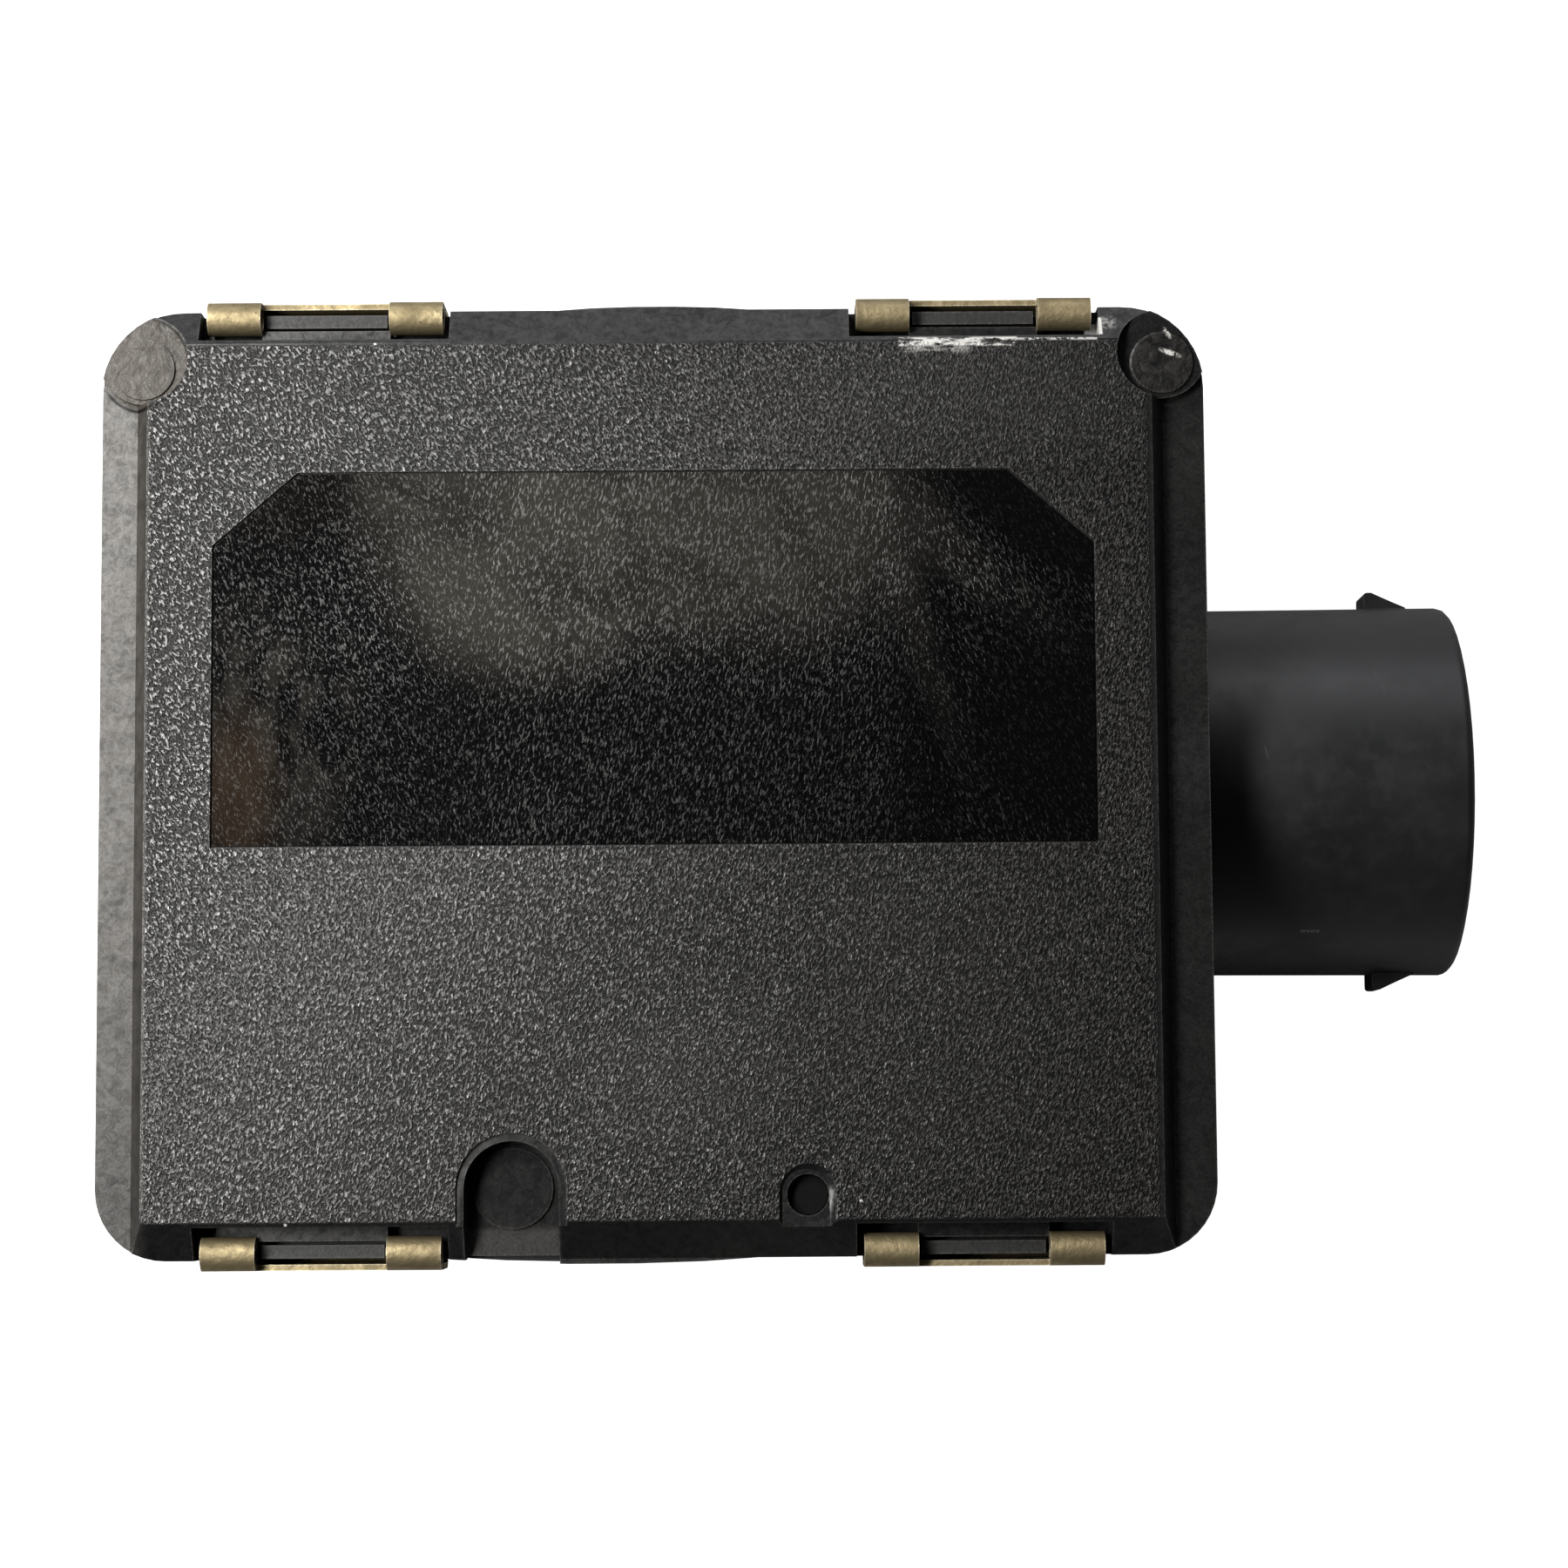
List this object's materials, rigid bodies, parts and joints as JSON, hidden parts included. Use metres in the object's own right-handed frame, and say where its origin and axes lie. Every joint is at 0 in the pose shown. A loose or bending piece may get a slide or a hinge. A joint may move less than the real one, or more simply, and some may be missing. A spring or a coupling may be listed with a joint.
{
  "type": "vent flap drive unit",
  "caption": "Flat sealed electric drive unit for an automatic air vent: clip-on cover, round plug socket, geared motor and a square drive socket in the back.",
  "frame": {"origin": "centre of the flat back of the case, under the middle of the cover outline", "axes": "+X out of the plug socket, +Y towards the edge with the two corner pads, +Z out of the cover"},
  "size_m": [0.1158, 0.081, 0.042],
  "materials": {
    "black_grained_plastic": "moulded leather-like grain, satin, slightly worn",
    "label_film": "blank dark film with a fine grain and a soft haze",
    "membrane": "porous matt disc",
    "rubber_seal": "matt",
    "satin_black_plastic": "smooth satin",
    "zinc_plate": "zinc-plated, dull",
    "board_laminate": "green solder mask",
    "chip_resin": "moulded resin",
    "capacitor_can": "drawn can",
    "ferrite_core": "sintered grey",
    "motor_steel": "plain steel",
    "copper_winding": "enamelled copper winding, copper colour",
    "brass_turned": "turned",
    "clip_bronze": "tarnished bronze spring sheet",
    "lead_red": "insulated wire",
    "lead_black": "insulated wire",
    "gear_plastic": "natural acetal",
    "magnet_ferrite": "sintered"
  },
  "bodies": {
    "housing": {"axle_clip": "motor_steel", "board_screw_1": "zinc_plate", "board_screw_2": "zinc_plate", "board_screw_3": "zinc_plate", "board_screw_4": "zinc_plate", "bracket_screw_1": "zinc_plate", "bracket_screw_2": "zinc_plate", "bracket_screw_3": "zinc_plate", "capacitor_left": "capacitor_can", "capacitor_right": "capacitor_can", "case": "black_grained_plastic", "circuit_board": "board_laminate", "contact_pin_1": "brass_turned", "contact_pin_2": "brass_turned", "contact_pin_3": "brass_turned", "contact_pin_4": "brass_turned", "contact_pin_5": "brass_turned", "contact_pin_6": "brass_turned", "contact_pin_7": "brass_turned", "controller_chip": "chip_resin", "cover": "black_grained_plastic", "cover_gasket": "rubber_seal", "driver_chip": "chip_resin", "first_idler_axle": "motor_steel", "fixing_insert_bottom": "brass_turned", "fixing_insert_left": "brass_turned", "fixing_insert_right": "brass_turned", "inductor": "ferrite_core", "motor_bracket": "zinc_plate", "motor_can": "motor_steel", "motor_end_cap": "chip_resin", "motor_lead_1": "lead_red", "motor_lead_2": "lead_black", "motor_screw_1": "zinc_plate", "motor_screw_2": "zinc_plate", "output_bush": "clip_bronze", "plug_socket": "satin_black_plastic", "position_sensor": "chip_resin", "rating_label": "label_film", "second_idler_axle": "motor_steel", "shaft_seal": "rubber_seal", "socket_nut": "zinc_plate", "socket_seal": "rubber_seal", "vent_membrane": "membrane"},
    "output_drive": {"output_gear": "gear_plastic", "output_hub": "motor_steel", "hub_clip": "motor_steel", "position_magnet": "magnet_ferrite"},
    "first_idler": {"first_idler_gear": "gear_plastic"},
    "second_idler": {"second_idler_gear": "gear_plastic"},
    "motor_rotor": {"motor_shaft": "motor_steel", "motor_pinion": "brass_turned", "motor_armature": "copper_winding"},
    "clip_top_left": {"clip_top_left": "clip_bronze"},
    "clip_top_right": {"clip_top_right": "clip_bronze"},
    "clip_bottom_left": {"clip_bottom_left": "clip_bronze"},
    "clip_bottom_right": {"clip_bottom_right": "clip_bronze"}
  },
  "joints": [
    {"name": "output_turn", "type": "hinge", "parent": "housing", "child": "output_drive", "pos_m": [0.012, -0.01, 0], "axis": [0, 0, 1], "range_deg": [0, 90]},
    {"name": "second_idler_turn", "type": "hinge", "parent": "housing", "child": "second_idler", "pos_m": [-0.00639, 0.00543, 0], "axis": [0, 0, 1], "range_deg": [-361, 1]},
    {"name": "first_idler_turn", "type": "hinge", "parent": "housing", "child": "first_idler", "pos_m": [-0.02415, 0.01189, 0], "axis": [0, 0, 1], "range_deg": [-1, 1261]},
    {"name": "motor_turn", "type": "hinge", "parent": "housing", "child": "motor_rotor", "pos_m": [-0.02675, -0.00288, 0], "axis": [0, 0, 1], "range_deg": [-5041, 1]},
    {"name": "clip_top_left_swing", "type": "hinge", "parent": "housing", "child": "clip_top_left", "pos_m": [-0.02755, 0.0384, 0.0342], "axis": [-1, 0, 0], "range_deg": [0, 75]},
    {"name": "clip_top_right_swing", "type": "hinge", "parent": "housing", "child": "clip_top_right", "pos_m": [0.02695, 0.0384, 0.0342], "axis": [-1, 0, 0], "range_deg": [0, 75]},
    {"name": "clip_bottom_left_swing", "type": "hinge", "parent": "housing", "child": "clip_bottom_left", "pos_m": [-0.02755, -0.0384, 0.0342], "axis": [1, 0, 0], "range_deg": [0, 75]},
    {"name": "clip_bottom_right_swing", "type": "hinge", "parent": "housing", "child": "clip_bottom_right", "pos_m": [0.02695, -0.0384, 0.0342], "axis": [1, 0, 0], "range_deg": [0, 75]}
  ],
  "couplings": [
    {"joint": "second_idler_turn", "follows": "output_turn", "ratio": -4},
    {"joint": "first_idler_turn", "follows": "output_turn", "ratio": 14},
    {"joint": "motor_turn", "follows": "output_turn", "ratio": -56}
  ]
}
